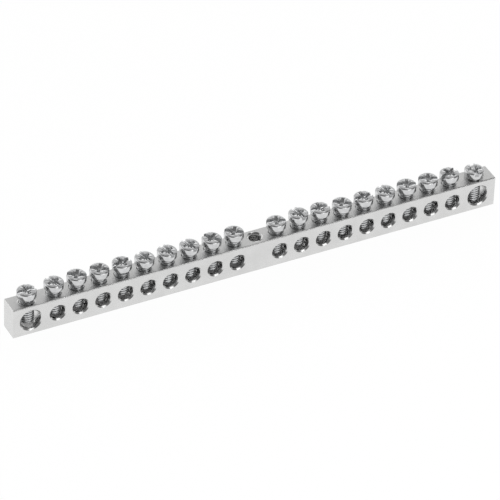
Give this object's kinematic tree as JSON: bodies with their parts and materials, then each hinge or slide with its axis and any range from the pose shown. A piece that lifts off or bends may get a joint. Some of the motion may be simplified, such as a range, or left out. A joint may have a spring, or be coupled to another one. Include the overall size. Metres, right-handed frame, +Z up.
{
  "type": "earth terminal bar",
  "caption": "Straight rectangular metal terminal bar, cross-drilled for a row of earth conductors, each clamped by its own vertical screw, with a threaded fixing hole in the middle.",
  "frame": {"origin": "centre of the bar's underside, below the fixing hole", "axes": "+X along the bar, +Y from the wire side in view to the back, +Z up, along the clamp screws"},
  "size_m": [0.142, 0.006, 0.0131],
  "materials": {
    "plated_brass": "nickel-plated, fine satin drawn faces",
    "zinc_steel": "bright zinc-plated, cold-formed heads and rolled threads"
  },
  "bodies": {
    "bar": {"bar": "plated_brass"},
    "clamp_screw_01": {"clamp_screw_01": "zinc_steel"},
    "clamp_screw_02": {"clamp_screw_02": "zinc_steel"},
    "clamp_screw_03": {"clamp_screw_03": "zinc_steel"},
    "clamp_screw_04": {"clamp_screw_04": "zinc_steel"},
    "clamp_screw_05": {"clamp_screw_05": "zinc_steel"},
    "clamp_screw_06": {"clamp_screw_06": "zinc_steel"},
    "clamp_screw_07": {"clamp_screw_07": "zinc_steel"},
    "clamp_screw_08": {"clamp_screw_08": "zinc_steel"},
    "clamp_screw_09": {"clamp_screw_09": "zinc_steel"},
    "clamp_screw_10": {"clamp_screw_10": "zinc_steel"},
    "clamp_screw_11": {"clamp_screw_11": "zinc_steel"},
    "clamp_screw_12": {"clamp_screw_12": "zinc_steel"},
    "clamp_screw_13": {"clamp_screw_13": "zinc_steel"},
    "clamp_screw_14": {"clamp_screw_14": "zinc_steel"},
    "clamp_screw_15": {"clamp_screw_15": "zinc_steel"},
    "clamp_screw_16": {"clamp_screw_16": "zinc_steel"},
    "clamp_screw_17": {"clamp_screw_17": "zinc_steel"},
    "clamp_screw_18": {"clamp_screw_18": "zinc_steel"},
    "clamp_screw_19": {"clamp_screw_19": "zinc_steel"},
    "clamp_screw_20": {"clamp_screw_20": "zinc_steel"}
  },
  "joints": [
    {"name": "clamp_01", "type": "slide", "parent": "bar", "child": "clamp_screw_01", "axis": [0, 0, 1], "range_m": [-0.00124, 0.00555]},
    {"name": "clamp_02", "type": "slide", "parent": "bar", "child": "clamp_screw_02", "axis": [0, 0, 1], "range_m": [-0.00164, 0.00515]},
    {"name": "clamp_03", "type": "slide", "parent": "bar", "child": "clamp_screw_03", "axis": [0, 0, 1], "range_m": [-0.00184, 0.00495]},
    {"name": "clamp_04", "type": "slide", "parent": "bar", "child": "clamp_screw_04", "axis": [0, 0, 1], "range_m": [-0.00174, 0.00505]},
    {"name": "clamp_05", "type": "slide", "parent": "bar", "child": "clamp_screw_05", "axis": [0, 0, 1], "range_m": [-0.00184, 0.00495]},
    {"name": "clamp_06", "type": "slide", "parent": "bar", "child": "clamp_screw_06", "axis": [0, 0, 1], "range_m": [-0.00144, 0.00535]},
    {"name": "clamp_07", "type": "slide", "parent": "bar", "child": "clamp_screw_07", "axis": [0, 0, 1], "range_m": [-0.00159, 0.0052]},
    {"name": "clamp_08", "type": "slide", "parent": "bar", "child": "clamp_screw_08", "axis": [0, 0, 1], "range_m": [-0.00149, 0.0053]},
    {"name": "clamp_09", "type": "slide", "parent": "bar", "child": "clamp_screw_09", "axis": [0, 0, 1], "range_m": [-0.00164, 0.00515]},
    {"name": "clamp_10", "type": "slide", "parent": "bar", "child": "clamp_screw_10", "axis": [0, 0, 1], "range_m": [-0.00174, 0.00505]},
    {"name": "clamp_11", "type": "slide", "parent": "bar", "child": "clamp_screw_11", "axis": [0, 0, 1], "range_m": [-0.00134, 0.00545]},
    {"name": "clamp_12", "type": "slide", "parent": "bar", "child": "clamp_screw_12", "axis": [0, 0, 1], "range_m": [-0.00199, 0.0048]},
    {"name": "clamp_13", "type": "slide", "parent": "bar", "child": "clamp_screw_13", "axis": [0, 0, 1], "range_m": [-0.00174, 0.00505]},
    {"name": "clamp_14", "type": "slide", "parent": "bar", "child": "clamp_screw_14", "axis": [0, 0, 1], "range_m": [-0.00139, 0.0054]},
    {"name": "clamp_15", "type": "slide", "parent": "bar", "child": "clamp_screw_15", "axis": [0, 0, 1], "range_m": [-0.00144, 0.00535]},
    {"name": "clamp_16", "type": "slide", "parent": "bar", "child": "clamp_screw_16", "axis": [0, 0, 1], "range_m": [-0.00149, 0.0053]},
    {"name": "clamp_17", "type": "slide", "parent": "bar", "child": "clamp_screw_17", "axis": [0, 0, 1], "range_m": [-0.00159, 0.0052]},
    {"name": "clamp_18", "type": "slide", "parent": "bar", "child": "clamp_screw_18", "axis": [0, 0, 1], "range_m": [-0.00154, 0.00525]},
    {"name": "clamp_19", "type": "slide", "parent": "bar", "child": "clamp_screw_19", "axis": [0, 0, 1], "range_m": [-0.00144, 0.00535]},
    {"name": "clamp_20", "type": "slide", "parent": "bar", "child": "clamp_screw_20", "axis": [0, 0, 1], "range_m": [-0.00034, 0.00645]}
  ]
}
